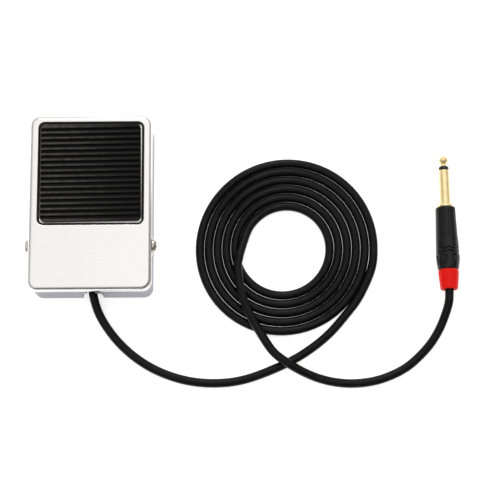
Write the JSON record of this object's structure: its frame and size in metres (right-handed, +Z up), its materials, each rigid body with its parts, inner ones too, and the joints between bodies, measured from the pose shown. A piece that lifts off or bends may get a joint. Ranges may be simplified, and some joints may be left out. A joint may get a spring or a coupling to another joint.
{
  "type": "sustain pedal",
  "caption": "Compact foot-operated momentary sustain pedal: sprung metal treadle with a ribbed rubber pad, side hinge screws, coiled lead and 6.35 mm jack plug.",
  "frame": {"origin": "on the floor under the middle of the pedal housing, the cord and plug not counted", "axes": "+X to the player's right, +Y towards the toe end that is pressed, +Z up"},
  "size_m": [0.2616, 0.1622, 0.0329],
  "materials": {
    "satin_metal": "satin brushed",
    "tray_metal": "satin cast",
    "screw_steel": "bright nickel",
    "zinc_steel": "zinc plated",
    "pad_rubber": "moulded",
    "sole_rubber": "moulded",
    "white_nylon": "moulded",
    "switch_plastic": "moulded",
    "red_plastic": "moulded",
    "brass": "stamped",
    "gold_plate": "polished gold plate",
    "black_shell": "satin black",
    "red_boot": "smooth moulded",
    "cord_jacket": "satin PVC jacket",
    "wire_white": "extruded",
    "wire_black": "extruded"
  },
  "bodies": {
    "base": {"base_tray": "tray_metal", "sole_pad": "sole_rubber", "hinge_screw_left": "screw_steel", "hinge_screw_right": "screw_steel", "hinge_washer_left": "white_nylon", "hinge_washer_right": "white_nylon", "lock_washer_left": "zinc_steel", "lock_washer_right": "zinc_steel", "hinge_nut_left": "zinc_steel", "hinge_nut_right": "zinc_steel", "switch_body": "switch_plastic", "lever_pin": "zinc_steel", "switch_bracket": "zinc_steel", "bracket_screw_heel": "zinc_steel", "bracket_screw_toe": "zinc_steel", "switch_screw_heel": "zinc_steel", "switch_screw_toe": "zinc_steel", "switch_nut_heel": "zinc_steel", "switch_nut_toe": "zinc_steel", "terminal_common": "brass", "terminal_open": "brass", "terminal_closed": "brass", "return_spring": "zinc_steel", "spring_seat": "white_nylon", "stop_bumper_left": "sole_rubber", "stop_bumper_right": "sole_rubber", "cord_end_inside": "cord_jacket", "wire_tip": "wire_white", "wire_sleeve": "wire_black", "cord_clamp": "white_nylon", "clamp_screw_left": "zinc_steel", "clamp_screw_right": "zinc_steel", "cord_lead": "cord_jacket", "cord_coil": "cord_jacket", "cord_tail": "cord_jacket", "plug_boot": "red_boot", "plug_barrel": "black_shell", "plug_collet": "white_nylon", "plug_sleeve": "gold_plate", "plug_insulator": "black_shell", "plug_tip": "gold_plate"},
    "treadle": {"top_cover": "satin_metal", "tread_pad": "pad_rubber", "spring_cup": "zinc_steel", "actuator_peg": "zinc_steel"},
    "lever": {"switch_lever": "zinc_steel"},
    "plunger": {"switch_plunger": "red_plastic"}
  },
  "joints": [
    {"name": "treadle_hinge", "type": "hinge", "parent": "base", "child": "treadle", "pos_m": [0, -0.0255, 0.0228], "axis": [-1, 0, 0], "range_deg": [0, 3.4], "stiffness_Nm_per_rad": 4.2, "springref_deg": -5.16, "deforming": ["return_spring"]},
    {"name": "lever_hinge", "type": "hinge", "parent": "base", "child": "lever", "pos_m": [0, 0.0016, 0.022], "axis": [-1, 0, 0], "range_deg": [0, 7.3]},
    {"name": "plunger_slide", "type": "slide", "parent": "base", "child": "plunger", "axis": [0, 0, -1], "range_m": [0, 0.0012]}
  ],
  "couplings": [
    {"joint": "lever_hinge", "follows": "treadle_hinge", "ratio": 2.12},
    {"joint": "plunger_slide", "follows": "treadle_hinge", "m_per_rad": 0.0187}
  ]
}
